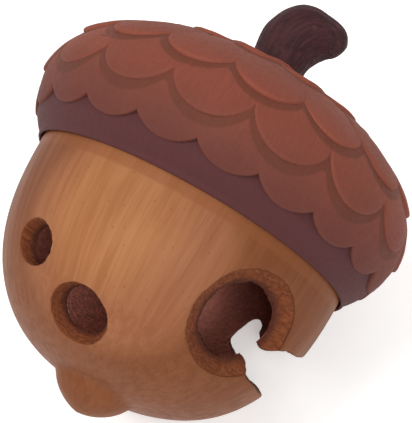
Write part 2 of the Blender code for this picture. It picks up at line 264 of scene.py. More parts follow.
class AcornStemSettings(bpy.types.PropertyGroup):
    ridge: length("Ridges", "Height of the bark's ridges", 0.07)
    sides: IntProperty(name="Sides", description="Points round the stem", default=72, min=8)
    steps: IntProperty(name="Steps", description="Rings between two sections", default=6, min=1)
    bark: colour("Bark", "Bark's ridges", (0.061, 0.020, 0.023))
    furrow: colour("Furrow", "Bark's furrows", (0.024, 0.008, 0.008))
    warts: colour("Warts", "Pale spots on the bark", (0.105, 0.045, 0.040))
    cut: colour("Cut end", "Wood at the stub's end", (0.078, 0.034, 0.028))
    cut_dark: colour("Dark cut end", "Darker wood there", (0.040, 0.016, 0.013))


class AcornStageSettings(bpy.types.PropertyGroup):
    lens: FloatProperty(
        name="Lens", description="Camera's lens", default=300.0, subtype="DISTANCE_CAMERA"
    )
    azimuth: FloatProperty(
        name="Azimuth", description="Camera's turn round the acorn", subtype="ANGLE",
        default=math.radians(30.85),
    )
    elevation: FloatProperty(
        name="Elevation", description="Camera's height over the level", subtype="ANGLE",
        default=math.radians(57.75),
    )
    width: length("Width", "Longer side of the view at the acorn", 31.196)
    key: FloatProperty(
        name="Key", description="Large soft light at the upper left", default=1.15, subtype="POWER"
    )
    fill: FloatProperty(
        name="Fill", description="Small light beside the camera", default=0.75, subtype="POWER"
    )
    sky: FloatProperty(name="Sky", description="Strength of the light all round", default=0.60)
    glow: FloatProperty(name="Glow", description="Strength of the floor's own light", default=0.30)
    paper: colour("Paper", "Floor", (0.92, 0.92, 0.92))
    tooth: colour("Tooth", "Slightly darker specks in the floor", (0.90, 0.90, 0.90))


def in_millimetres(group):
    """A group's settings, with its lengths in millimetres."""
    values = {}
    for name in group.__annotations__:
        value = getattr(group, name)
        is_length = group.bl_rna.properties[name].unit == "LENGTH"
        values[name] = value / MM if is_length else value
    return SimpleNamespace(**values)


# Mesh tools.


def finished(name, work, node, material):
    """Lays a finished mesh down, keeps it above the ground and hands it to the frame."""
    bmesh.ops.transform(work, matrix=own_to_row(), verts=work.verts)
    for vert in work.verts:
        vert.co.z = max(vert.co.z, 0.0)
    mesh = bpy.data.meshes.new(name)
    work.to_mesh(mesh)
    work.free()
    mesh.shade_smooth()
    mesh.materials.append(material)
    piece = bpy.data.objects.new(name, mesh)
    bpy.context.scene.collection.objects.link(piece)
    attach(piece, "root")
    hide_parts(node)


def evenly(points, spacing):
    """A line through the points, cut into equal lengths of about the spacing."""
    points = np.array(points, dtype=float)
    travel = np.concatenate([[0.0], np.cumsum(np.linalg.norm(np.diff(points, axis=0), axis=1))])
    count = max(2, int(math.ceil(travel[-1] / spacing)) + 1)
    places = np.linspace(0.0, travel[-1], count)
    return np.stack([np.interp(places, travel, column) for column in points.T], axis=1)


def quarter(radius, height, power, count=80):
    """A superellipse's quarter, from (0, height) on the axis out to (radius, 0)."""
    turns = np.linspace(0.0, 0.5 * math.pi, count)
    across = radius * np.sin(turns) ** (2 / power)
    up = height * np.cos(turns).clip(0.0) ** (2 / power)
    return np.stack([across, up], axis=1)


def spun(work, outline, steps):
    """Turns an outline of (radius, height) about the axis into a closed skin."""
    line = [work.verts.new((float(r), 0.0, float(h))) for r, h in outline]
    edges = [work.edges.new(pair) for pair in zip(line[:-1], line[1:])]
    bmesh.ops.spin(
        work, geom=line + edges, cent=(0, 0, 0), axis=(0, 0, 1), dvec=(0, 0, 0),
        angle=2 * math.pi, steps=steps, use_merge=True,
    )
    bmesh.ops.remove_doubles(work, verts=work.verts, dist=0.0005)
    bmesh.ops.recalc_face_normals(work, faces=work.faces)


def loose_object(name, work):
    mesh = bpy.data.meshes.new(name)
    work.to_mesh(mesh)
    work.free()
    made = bpy.data.objects.new(name, mesh)
    bpy.context.scene.collection.objects.link(made)
    return made


def carve(body, cutters):
    """Cuts the cutters out of the body and gives back the result as a bmesh."""
    for cutter in cutters:
        cut = body.modifiers.new(cutter.name, "BOOLEAN")
        cut.operation = "DIFFERENCE"
        cut.solver = "MANIFOLD"
        cut.object = cutter
    graph = bpy.context.evaluated_depsgraph_get()
    mesh = bpy.data.meshes.new_from_object(body.evaluated_get(graph))
    work = bmesh.new()
    work.from_mesh(mesh)
    for used in (body, *cutters):
        bpy.data.objects.remove(used)
    bpy.data.meshes.remove(mesh)
    return work


def soften_edges(work, angle, rounds):
    """Rounds the sharp edges that cutting leaves, by easing the points along them."""
    bmesh.ops.remove_doubles(work, verts=work.verts, dist=MERGE)
    bmesh.ops.dissolve_degenerate(work, edges=work.edges, dist=0.5 * MERGE)
    loose = [edge for edge in work.edges if edge.is_wire]
    bmesh.ops.delete(work, geom=loose, context="EDGES")
    bmesh.ops.triangulate(work, faces=[face for face in work.faces if len(face.verts) > 4])
    work.normal_update()
    sharp = [edge for edge in work.edges if edge.calc_face_angle(0.0) > angle]
    crest = {vert for edge in sharp for vert in edge.verts}
    beside = {edge.other_vert(vert) for vert in crest for edge in vert.link_edges} | crest
    for _ in range(rounds):
        bmesh.ops.smooth_vert(
            work, verts=list(crest), factor=0.5, use_axis_x=True, use_axis_y=True, use_axis_z=True
        )
        bmesh.ops.smooth_vert(
            work, verts=list(beside), factor=0.25, use_axis_x=True, use_axis_y=True,
            use_axis_z=True,
        )


# Shader tools.


class Value:
    """A shader socket that takes arithmetic: each operator adds a Math node."""

    def __init__(self, tree, socket):
        self.tree = tree
        self.socket = socket

    def maths(self, operation, *values):
        node = self.tree.nodes.new("ShaderNodeMath")
        node.operation = operation
        for slot, value in zip(node.inputs, values):
            if isinstance(value, Value):
                self.tree.links.new(value.socket, slot)
            else:
                slot.default_value = value
        return Value(self.tree, node.outputs[0])

    def __add__(self, other):
        return self.maths("ADD", self, other)

    def __sub__(self, other):
        return self.maths("SUBTRACT", self, other)

    def __rsub__(self, other):
        return self.maths("SUBTRACT", other, self)

    def __mul__(self, other):
        return self.maths("MULTIPLY", self, other)


class Finish:
    """A Principled material and the nodes that feed it."""

    def __init__(self, name, **constants):
        self.material = bpy.data.materials.new(name)
        self.material.use_nodes = True
        self.tree = self.material.node_tree
        self.shader = self.tree.nodes["Principled BSDF"]
        for socket, value in constants.items():
            self.shader.inputs[socket.replace("_", " ")].default_value = value

    def add(self, kind, settings, sockets, output=0):
        """Adds a node: its settings first, then the values or links of its sockets."""
        node = self.tree.nodes.new(kind)
        for name, value in settings.items():
            setattr(node, name, value)
        for name, value in sockets.items():
            self.give(node.inputs[name], value)
        return Value(self.tree, node.outputs[output])

    def give(self, socket, value):
        if isinstance(value, Value):
            self.tree.links.new(value.socket, socket)
        else:
            socket.default_value = value

    def attribute(self, name, output="Fac"):
        return self.add("ShaderNodeAttribute", {"attribute_name": name}, {}, output)

    def distance(self, vector, place):
        settings = {"operation": "DISTANCE"}
        return self.add("ShaderNodeVectorMath", settings, {0: vector, 1: tuple(place)}, "Value")

    def scaled(self, vector, factors):
        """The vector for a pattern that is finer where a direction's factor is larger."""
        return self.add("ShaderNodeVectorMath", {"operation": "MULTIPLY"}, {0: vector, 1: factors})

    def noise(self, vector, scale=1.0, detail=3.0, roughness=0.55, distortion=0.0):
        return self.add(
            "ShaderNodeTexNoise", {"noise_dimensions": "3D"},
            {
                "Vector": vector, "Scale": scale, "Detail": detail, "Roughness": roughness,
                "Distortion": distortion,
            },
        )

    def pores(self, vector):
        """Distance to the nearest of the scattered spots."""
        sockets = {"Vector": vector, "Scale": 1.0}
        return self.add("ShaderNodeTexVoronoi", {"feature": "F1"}, sockets, "Distance")

    def between(self, value, low, high, to_low=0.0, to_high=1.0):
        """The value's place from low to high, eased, on a new scale."""
        return self.add(
            "ShaderNodeMapRange", {"interpolation_type": "SMOOTHSTEP", "clamp": True},
            {"Value": value, 1: low, 2: high, 3: to_low, 4: to_high},
        )

    def mixed(self, factor, first, second, blend="MIX"):
        settings = {"data_type": "RGBA", "blend_type": blend, "clamp_factor": True}
        colours = {
            place: colour if isinstance(colour, Value) else (*colour, 1.0)
            for place, colour in ((6, first), (7, second))
        }
        return self.add("ShaderNodeMix", settings, {0: factor, **colours}, 2)

    def bump(self, height, distance, strength=1.0, under=None):
        sockets = {"Height": height, "Distance": distance, "Strength": strength}
        if under is not None:
            sockets["Normal"] = under
        return self.add("ShaderNodeBump", {}, sockets)

    def connect(self, **values):
        for socket, value in values.items():
            self.give(self.shader.inputs[socket.replace("_", " ")], value)
        return self.material


# The nut shell.


def shell_outline(settings, grow=0.0, nub=True, hidden=1.2, shown=0.28):
    """The shell's outline from its hidden top to its tip, grown outward by grow. Its points are
    spaced by hidden over the rim and by shown under it."""
    radius = settings.radius + grow
    above = quarter(radius, settings.above + grow, settings.fullness)
    below = quarter(radius, -settings.below - grow, settings.fullness)[::-1]
    if nub:
        tip = quarter(settings.nub_radius, -settings.nub_length, NUB_POWER)[::-1]
        tip[:, 1] -= settings.below - NUB_SINK
        below = np.concatenate([below[below[:, 0] > settings.nub_radius * NUB_CLEAR], tip])
    seen = evenly(below, shown)
    for _ in range(3):
        seen[1:-1] = 0.25 * seen[:-2] + 0.5 * seen[1:-1] + 0.25 * seen[2:]
    return np.concatenate([evenly(above, hidden)[:-1], seen])


def nut_radius_at(settings, height):
    reach = settings.below if height < 0 else settings.above
    return settings.radius * (1 - abs(height / reach) ** settings.fullness) ** (1 / settings.fullness)


def bore_cutter(settings, name, turn, height, outer, inner, aim, width):
    """A slightly uneven cone through the wall, as an insect's bore leaves it."""
    turn = math.radians(turn)
    entry = outward(turn) * nut_radius_at(settings, height) + Vector((0.0, 0.0, height))
    along = (entry - Vector((0.0, 0.0, aim))).normalized()
    slope = (outer - inner) / settings.wall
    deep = settings.wall + BORE_REACH
    rings = [(outer + slope * depth, depth) for depth in np.linspace(-deep, deep, 28)]
    work = bmesh.new()
    spun(work, [(0.0, -deep), *rings, (0.0, deep)], 96)
    for vert in work.verts:
        ring = Vector((vert.co.x, vert.co.y, 0.0))
        if ring.length > 0.01:
            wave = noise.noise(ring.normalized() * 1.7 + Vector((0.0, 0.0, vert.co.z * 0.4 + outer)))
            ripple = noise.noise(Vector((*(ring.normalized() * 6.0).xy, vert.co.z * 3.0)))
            vert.co += ring.normalized() * (BORE_WAVE * outer * wave + BORE_RIPPLE * ripple)
    aimed = Matrix.Translation(entry) @ along.to_track_quat("Z", "Y").to_matrix().to_4x4()
    aimed = aimed @ Matrix.Diagonal((width, 1.0, 1.0, 1.0))
    bmesh.ops.transform(work, matrix=aimed, verts=work.verts)
    return loose_object(name, work)


def notch_cutter(name, outline, side, flare):
    """A flared prism along the line of sight with a jagged, splintered wall."""
    closed = evenly([*outline, outline[0]], NOTCH_SPACING)[:-1]
    middle = Vector((outline[0][0], 0.5 * (outline[0][1] + outline[-1][1]), 0.0))
    work = bmesh.new()
    ring = [work.verts.new((float(x), float(y), -NOTCH_OVERLAP * side)) for x, y in closed]
    for pair in zip(ring, ring[1:] + ring[:1]):
        work.edges.new(pair)
    base = bmesh.ops.contextual_create(work, geom=work.verts[:] + work.edges[:])["faces"]
    wall = bmesh.ops.extrude_face_region(work, geom=base, use_keep_orig=True)["geom"]
    for vert in (item for item in wall if isinstance(item, bmesh.types.BMVert)):
        vert.co.xy = middle.xy + (vert.co.xy - middle.xy) * flare
        vert.co.z += side * NOTCH_REACH
    long_edges = [edge for edge in work.edges if edge.calc_length() > 0.9 * NOTCH_REACH]
    bmesh.ops.subdivide_edges(work, edges=long_edges, cuts=44, use_grid_fill=True)
    for vert in work.verts:
        spot = vert.co * 1.1
        splinter = Vector((vert.co.x * 3.2, vert.co.y * 3.2, vert.co.z * 0.7))
        vert.co.xy += Vector([
            noise.noise(spot + shift) * NOTCH_WAVE + noise.noise(splinter + shift) * NOTCH_SPLINTER
            for shift in (Vector((4.7, 1.3, 0.5)), Vector((0.6, 9.3, 5.2)))
        ])
    bmesh.ops.triangulate(work, faces=[face for face in work.faces if len(face.verts) > 4])
    bmesh.ops.recalc_face_normals(work, faces=work.faces)
    front = outward(FRONT_TURN)
    axis = Vector((0.0, 0.0, 1.0))
    up = axis * math.cos(FRONT_TIP) + front * math.sin(FRONT_TIP)
    back = front * math.cos(FRONT_TIP) - axis * math.sin(FRONT_TIP)
    facing = Matrix((outward(FRONT_TURN + 0.5 * math.pi), up, back)).transposed().to_4x4()
    bmesh.ops.transform(work, matrix=facing, verts=work.verts)
    return loose_object(name, work)


def hollow_swell(place):
    """How far the hollow's face stands out from its even outline at a point."""
    return HOLLOW_SWELL * noise.fractal(place * 0.8, 1.0, 2.0, 3)


def shell_depth(settings, place, shrink=0.0):
    """How far a point lies inside the nut's outline, shrunk by a length, in millimetres."""
    reach = (settings.below if place.z < 0 else settings.above) - shrink
    across = math.hypot(place.x, place.y) / (settings.radius - shrink)
    share = across ** settings.fullness + abs(place.z / reach) ** settings.fullness
    share = max(share, 1e-6) ** (1 / settings.fullness)
    return place.length * (1 / share - 1)


def mark_shell(work, settings):
    """Marks the points with their own place, the grain's place, and their depth under the skin
    and under the hollow's face, then lets the skin rise and fall."""
    own = work.verts.layers.float_vector.new("own")
    grain = work.verts.layers.float_vector.new("grain")
    depth = work.verts.layers.float.new("depth")
    lining = work.verts.layers.float.new("lining")
    work.normal_update()
    moves = []
    for vert in work.verts:
        place = vert.co
        on_nub = place.z < -settings.below + 0.75
        below_face = 0.0 if on_nub else max(0.0, shell_depth(settings, place))
        turn = math.atan2(place.y, place.x)
        around = outward(turn) * min(settings.radius, 2.0 + math.hypot(place.x, place.y))
        vert[grain] = (around.x, around.y, place.z)
        vert[depth] = below_face
        vert[lining] = shell_depth(settings, place, settings.wall) + hollow_swell(place)
        vert[own] = place
        swell = noise.noise(Vector((around.x * 0.22, around.y * 0.22, place.z * 0.10)))
        skin_share = 1 - smooth_step(0.0, 0.4, below_face)
        moves.append((vert, vert.normal * SKIN_SWELL * swell * skin_share))
    for vert, move in moves:
        vert.co += move


def shell_material(settings):
    """Streaked skin with painted light on one cheek, painted shade round it and a painted shadow
    under the cap's rim; torn walls that darken inward with painted shade at their inner edge; and a
    felted lining with painted shade toward the notch.
    """
    finish = Finish("nut_shell_skin", Metallic=0.0, Specular_IOR_Level=0.05)
    grain = finish.attribute("grain", "Vector")
    depth = finish.attribute("depth")
    height = finish.add("ShaderNodeSeparateXYZ", {}, {0: grain}, "Z")
    streaks = finish.noise(finish.scaled(grain, (1.5, 1.5, 0.09)), detail=4.0, roughness=0.6)
    lines = finish.noise(finish.scaled(grain, (6.5, 6.5, 0.28)), roughness=0.6)
    clouds = finish.noise(finish.scaled(grain, (0.16, 0.16, 0.13)), roughness=0.5)
    specks = finish.pores(finish.scaled(grain, (1.6, 1.6, 1.1)))
    fleck = finish.between(specks, 0.05, 0.16, 1.0, 0.0)
    tone = finish.between(streaks * 0.75 + lines * 0.35 + clouds * 0.55, 0.62, 1.02)

    # The skin's painted light, from its yellower core out to the redder tan round it.
    own = finish.attribute("own", "Vector")
    brightest_painted_light = finish.between(finish.distance(own, PAINTED_LIGHT_CORE) + clouds * 2.0, 3.5, 8.5, 1.0, 0.0)
    skin = finish.mixed(brightest_painted_light, settings.cheek, settings.skin)
    skin = finish.mixed(tone, finish.mixed(1.0, skin, settings.streaks, "MULTIPLY"), skin)
    # Painted shade round the painted light, browner with darker streaks.
    reach = finish.distance(own, PAINTED_LIGHT_MIDDLE)
    far = finish.between(reach + clouds * 1.6 + streaks * 0.8, 8.3, 10.8)
    painted_shade_brown = finish.mixed(tone, settings.shaded_streaks, settings.shaded)
    skin = finish.mixed(far, skin, painted_shade_brown)
    # Painted shadow of the cap on the nut, in a band just below the rim.
    painted_cap_shadow = finish.between(height + streaks * 0.3, -0.90, -0.60)
    skin = finish.mixed(painted_cap_shadow * 0.55, skin, settings.painted_cap_shadow)
    skin = finish.mixed(fleck * 0.30, skin, settings.fleck)

    # The torn walls and the lining, with painted shade in both.
    fray = finish.noise(finish.scaled(grain, (1.2, 1.2, 1.2)))
    fibre = finish.noise(finish.scaled(grain, (2.2, 2.2, 5.0)), detail=4.0, roughness=0.65)
    torn = finish.mixed(finish.between(fibre, 0.35, 0.7), settings.fibre, settings.torn)
    felt = finish.noise(grain, scale=2.6, detail=4.0, roughness=0.7)
    # Painted shade on the lining, on its side toward the notch.
    side = finish.add("ShaderNodeSeparateXYZ", {}, {0: own}, "Y")
    lining = finish.mixed(
        finish.between(side + felt * 2.0, 0.0, 5.0), settings.lining, settings.lining_painted_shade
    )
    lining = finish.mixed(finish.between(felt, 0.3, 0.7, 0.45, 0.0), lining, settings.stain_and_painted_shade)
    # Painted shade at the inner edge of the torn walls.
    stain_and_painted_shade = finish.between(depth + fray * 0.3, 0.80, 1.25)
    torn = finish.mixed(stain_and_painted_shade * 0.8, torn, settings.stain_and_painted_shade)

    # Which of the three a point shows, its gloss and its relief.
    inside = finish.between(depth + fray * 0.12, 0.10, 0.20)
    inmost = finish.between(finish.attribute("lining") + fray * 0.04, -0.05, 0.0)
    colour = finish.mixed(inmost, finish.mixed(inside, skin, torn), lining)
    gloss = finish.between(streaks, 0.3, 0.7, 0.52, 0.42) + fleck * 0.12
    roughness = finish.between(inside, 0.0, 1.0) * 0.42 + gloss * (1 - inside * 0.45)
    fine = lines * 0.5 + streaks * 0.5 - fleck * 0.35
    relief = finish.bump(fine, 0.030 * MM, strength=0.8)
    fibrous = (fibre + felt * 0.8) * inside
    rough_relief = finish.bump(fibrous, 0.22 * MM, strength=0.9, under=relief)
    return finish.connect(Base_Color=colour, Roughness=roughness, Normal=rough_relief)


class ACORN_OT_shell(bpy.types.Operator):
    """Builds the nut shell with its bored holes and its notch"""

    bl_idname = "acorn.shell"
    bl_label = "Nut shell"

    def execute(self, context):
        settings = in_millimetres(context.scene.acorn_shell)
        body = bmesh.new()
        spun(body, shell_outline(settings), settings.steps)
        hollow = bmesh.new()
        inner = shell_outline(settings, grow=-settings.wall, nub=False, hidden=0.8, shown=0.35)
        spun(hollow, inner, ROUND_STEPS)
        for vert in hollow.verts:
            vert.co += vert.co.normalized() * hollow_swell(vert.co)
        cutters = [loose_object("hollow", hollow)]
        cutters += [bore_cutter(settings, *hole) for hole in HOLES]
        cutters.append(notch_cutter("notch_front", NOTCH_FRONT, 1, FRONT_FLARE))
        cutters.append(notch_cutter("notch_back", NOTCH_BACK, -1, BACK_FLARE))
        work = carve(loose_object("shell_block", body), cutters)
        soften_edges(work, angle=math.radians(32), rounds=3)
        mark_shell(work, settings)
        finished("acorn_shell", work, "nut_shell", shell_material(settings))
        return {"FINISHED"}


# The cap.


class Dome:
    """The outline over the cap's scales, as a curve from the rim up to the crown."""

    def __init__(self, settings, nut_radius):
        turns = np.linspace(0.5 * math.pi, 0.0, 120)
        rise = settings.radius - nut_radius
        lower_r = nut_radius + rise * np.cos(turns).clip(0.0) ** (2 / LOWER_POWER)
        lower_h = settings.widest * (1 - np.sin(turns) ** (2 / LOWER_POWER))
        rest = settings.height - settings.widest
        upper = quarter(settings.radius, rest, UPPER_POWER, 180)[::-1]
        self.radii = np.concatenate([lower_r, upper[1:, 0]])
        self.heights = np.concatenate([lower_h, settings.widest + upper[1:, 1]])
        steps = np.hypot(np.diff(self.radii), np.diff(self.heights))
        self.travel = np.concatenate([[0.0], np.cumsum(steps)])

    def travel_at_height(self, height):
        return float(np.interp(height, self.heights, self.travel))

    def travel_at_crown_radius(self, radius):
        widest = int(self.radii.argmax())
        return float(np.interp(-radius, -self.radii[widest:], self.travel[widest:]))

    def point(self, travel, lift=0.0):
        """(radius, height) at a distance from the rim, moved off the curve by lift."""
        travel = min(max(travel, 0.0), self.travel[-1])
        near = np.clip([travel - 0.1, travel + 0.1], 0.0, self.travel[-1])
        slope_r = float(np.diff(np.interp(near, self.travel, self.radii))[0])
        slope_h = float(np.diff(np.interp(near, self.travel, self.heights))[0])
        length = math.hypot(slope_r, slope_h)
        radius = float(np.interp(travel, self.travel, self.radii))
        height = float(np.interp(travel, self.travel, self.heights))
        return radius + lift * slope_h / length, height - lift * slope_r / length


def cap_body_outline(dome, shell):
    """Floor under the stem, crown, side, plain band and rim, then the hollow over the nut."""
    crown = dome.travel_at_crown_radius(SOCKET_RADIUS + SOCKET_LIP)
    band = dome.travel_at_height(SCALE_ROWS[0][1])
    outer = []
    for travel in np.linspace(crown, BAND_END, 96):
        blend = min(max((travel - band) / SINK_BLEND, 0.0), 1.0)
        outer.append(dome.point(travel, -BAND_SINK - blend * (BODY_SINK - BAND_SINK)))
    socket = [(0.0, SOCKET_FLOOR), (SOCKET_RADIUS, SOCKET_FLOOR)]
    hollow = shell_outline(shell, grow=RIM_GAP, nub=False, hidden=0.9, shown=0.9)
    hollow = [tuple(point) for point in hollow if point[1] > 0.5][::-1]
    inner = shell.radius + RIM_GAP
    rim = [(inner + out, height) for out, height in RIM_OUTLINE]
    return [*socket, *outer, *rim, *hollow]


def row_edge(row, dome, turn):
    """Distance from the rim to the row's scalloped lower edge at a turn."""
    count, height, radius, _, offset = row
    bottom = dome.travel_at_height(height)
    pitch = 2 * math.pi / count
    place = ((turn - FRONT_TURN) / pitch - offset) % 1.0
    across = min(place, 1 - place) * pitch * dome.point(bottom)[0]
    return bottom + radius - math.sqrt(max(radius * radius - across * across, 0.0))


def scale_layers(work):
    """Marks on the points: place along the scale, distance from its edge, distance below the
    next row's edge, the scale's own number, and 1 on the cap's body."""
    verts = work.verts.layers
    return (
        verts.float_vector.new("grain"), verts.float.new("edge"), verts.float.new("shade"),
        verts.float.new("ident"), verts.float.new("body"),
    )


def scale_plate(work, dome, settings, turn, stir, row, above):
    """One scale: a plate with a rounded edge, bent onto the cap and rooted in its body. Stir is
    how far it rises by chance, and above is the row that overlaps it."""
    count, height, radius, length, _ = row
    bottom = dome.travel_at_height(height)
    round_radius = dome.point(bottom)[0]
    pitch = 2 * math.pi * round_radius / count
    plate = bmesh.new()
    grain, edge_mark, shade, ident, _ = scale_layers(plate)
    wide, long = SCALE_QUADS
    bmesh.ops.create_grid(plate, x_segments=wide, y_segments=long, size=1.0)
    rim_edges = [edge for edge in plate.edges if edge.is_boundary]
    root = bmesh.ops.extrude_edge_only(plate, edges=rim_edges)["geom"]
    root_edges = [item for item in root if isinstance(item, bmesh.types.BMEdge)]
    foot = bmesh.ops.holes_fill(plate, edges=root_edges, sides=0)["faces"]
    middle = bmesh.ops.poke(plate, faces=foot)["verts"]
    root_verts = {vert for edge in root_edges for vert in edge.verts}.union(middle)
    number = 0.9 * stir / SCALE_STIR
    for vert in plate.verts:
        side = 0.5 * math.pi * vert.co.x
        tier = 0.5 * (vert.co.y + 1)
        across = radius * math.sin(side)
        start = radius * (1 - math.cos(side))
        up = start + (length - start) * tier ** 1.6
        lift = settings.lip + stir - settings.fall * math.sin(0.5 * math.pi * up / length)
        lift -= settings.valley * math.sin(math.pi * across / pitch) ** 2
        inset = radius - math.hypot(across, radius - up) if up < radius else radius - abs(across)
        if inset < EDGE_ROUND:
            share = 1 - max(inset, 0.0) / EDGE_ROUND
            lift -= EDGE_ROUND * (1 - math.sqrt(max(1 - share * share, 0.0)))
        spot = Vector((across, up, turn * 10.0))
        lift += SCALE_WAVE * noise.noise(spot * 0.9) + SCALE_RIPPLE * noise.noise(spot * 3.0)
        if vert in root_verts:
            lift = -SCALE_ROOT
        angle = turn + across / round_radius
        ring, level = dome.point(bottom + up, lift)
        vert.co = outward(angle) * ring + Vector((0.0, 0.0, level))
        vert[grain] = (across + 40.0 * number, up, turn * 10.0)
        vert[edge_mark] = max(inset, 0.0)
        vert[ident] = number
        over = row_edge(above, dome, angle) - bottom - up if above else SHADE_REACH
        vert[shade] = min(max(over, -1.0), SHADE_REACH)
    bmesh.ops.recalc_face_normals(plate, faces=plate.faces)
    mesh = bpy.data.meshes.new("plate")
    plate.to_mesh(mesh)
    plate.free()
    work.from_mesh(mesh)
    bpy.data.meshes.remove(mesh)


def cap_material(settings):
    """Felt that reddens toward the stem, with rubbed edges and a painted shadow under each scale's
    edge.
    """
    finish = Finish("cap_scales", Metallic=0.0, Specular_IOR_Level=0.12)
    grain = finish.attribute("grain", "Vector")
    own = finish.attribute("own", "Vector")
    edge = finish.attribute("edge")
    shade = finish.attribute("shade")
    ident = finish.attribute("ident")
    body = finish.attribute("body")
    height = finish.add("ShaderNodeSeparateXYZ", {}, {0: own}, "Z")
    fibres = finish.noise(
        finish.scaled(grain, (5.5, 0.75, 1.0)), detail=4.0, roughness=0.65, distortion=0.4
    )
    felt = finish.noise(own, scale=3.4, detail=4.0, roughness=0.7)
    clouds = finish.noise(own, scale=0.35, roughness=0.5)
    climb = finish.between(height + clouds * 2.0, 1.6, 9.8)
    colour = finish.mixed(climb, settings.lower, settings.upper)
    colour = finish.mixed(body, colour, settings.band)
    tone = finish.between(fibres * 0.6 + felt * 0.4 + ident * 0.08, 0.28, 0.72)
    colour = finish.mixed(tone * 0.28, colour, settings.hairs)
    worn = finish.between(edge, 0.40, 0.08, 0.0, 1.0) * (1 - body)
    colour = finish.mixed(worn * 0.06, colour, settings.worn)
    # Painted shadow below the edge of the row above.
    under = finish.between(shade + felt * 0.16 - fibres * 0.10, 0.74, 0.98, 1.0, 0.0)
    colour = finish.mixed(under * 0.50, colour, settings.under)
    roughness = finish.between(felt, 0.2, 0.8, 0.62, 0.82)
    soft = finish.bump(fibres * 0.7 + felt * 0.5, 0.10 * MM, strength=0.75)
    return finish.connect(Base_Color=colour, Roughness=roughness, Normal=soft)


class ACORN_OT_cap(bpy.types.Operator):
    """Builds the cap's body and its rows of scales"""

    bl_idname = "acorn.cap"
    bl_label = "Cap"

    def execute(self, context):
        settings = in_millimetres(context.scene.acorn_cap)
        shell = in_millimetres(context.scene.acorn_shell)
        dome = Dome(settings, shell.radius)
        work = bmesh.new()
        grain, _, shade, _, body = scale_layers(work)
        spun(work, cap_body_outline(dome, shell), ROUND_STEPS)
        for vert in work.verts:
            turn = math.atan2(vert.co.y, vert.co.x)
            vert[grain] = (turn * 12.0, vert.co.z, 0.0)
            vert[shade] = SHADE_REACH
            vert[body] = 1.0
        chance = random.Random(settings.seed)
        for number, row in enumerate(SCALE_ROWS):
            count, _, _, _, offset = row
            above = SCALE_ROWS[number + 1] if number + 1 < len(SCALE_ROWS) else None
            pitch = 2 * math.pi / count
            for index in range(count):
                sway = chance.uniform(-SCALE_SWAY, SCALE_SWAY)
                turn = FRONT_TURN + (index + offset) * pitch + sway
                stir = chance.uniform(-SCALE_STIR, SCALE_STIR)
                scale_plate(work, dome, settings, turn, stir, row, above)
        own = work.verts.layers.float_vector.new("own")
        for vert in work.verts:
            vert[own] = vert.co
        finished("acorn_cap", work, "cap", cap_material(settings))
        return {"FINISHED"}


# The stem stub.


def stem_sections(steps):
    """The stem's cross-sections, with smoothly placed ones between those that are given."""
    given = [np.array(section) for section in STEM_SECTIONS]
    smooth = []
    for index in range(len(given) - 1):
        near, far = given[index], given[index + 1]
        leave = 0.5 * (far - given[max(index - 1, 0)])
        arrive = 0.5 * (given[min(index + 2, len(given) - 1)] - near)
        for share in np.arange(steps) / steps:
            square, cube = share * share, share * share * share
            smooth.append(
                (2 * cube - 3 * square + 1) * near + (cube - 2 * square + share) * leave
                + (3 * square - 2 * cube) * far + (cube - square) * arrive
            )
    return smooth + [given[-1]]


def stem_material(settings):
    """Furrowed bark with pale warts, and bare wood at the cut end."""
    finish = Finish("stem_bark", Metallic=0.0, Specular_IOR_Level=0.15)
    grain = finish.attribute("grain", "Vector")
    cut = finish.attribute("cut")
    ridges = finish.noise(
        finish.scaled(grain, (2.4, 2.4, 0.55)), detail=5.0, roughness=0.65, distortion=0.5
    )
    dust = finish.noise(grain, scale=4.0, detail=4.0, roughness=0.7)
    spots = finish.pores(finish.scaled(grain, (0.9, 0.9, 0.8)))
    warts = finish.between(spots, 0.10, 0.28, 1.0, 0.0)
    tone = finish.between(ridges * 0.7 + dust * 0.3, 0.32, 0.66)
    colour = finish.mixed(tone, settings.furrow, settings.bark)
    colour = finish.mixed(warts * 0.3, colour, settings.warts)
    pith = finish.between(finish.noise(grain, scale=3.0), 0.3, 0.7)
    wood = finish.mixed(pith, settings.cut_dark, settings.cut)
    colour = finish.mixed(cut, colour, wood)
    relief = finish.bump(ridges * 0.8 + dust * 0.3 + warts * 0.5, 0.12 * MM, strength=0.85)
    return finish.connect(
        Base_Color=colour, Roughness=finish.between(dust, 0.2, 0.8, 0.60, 0.82), Normal=relief
    )


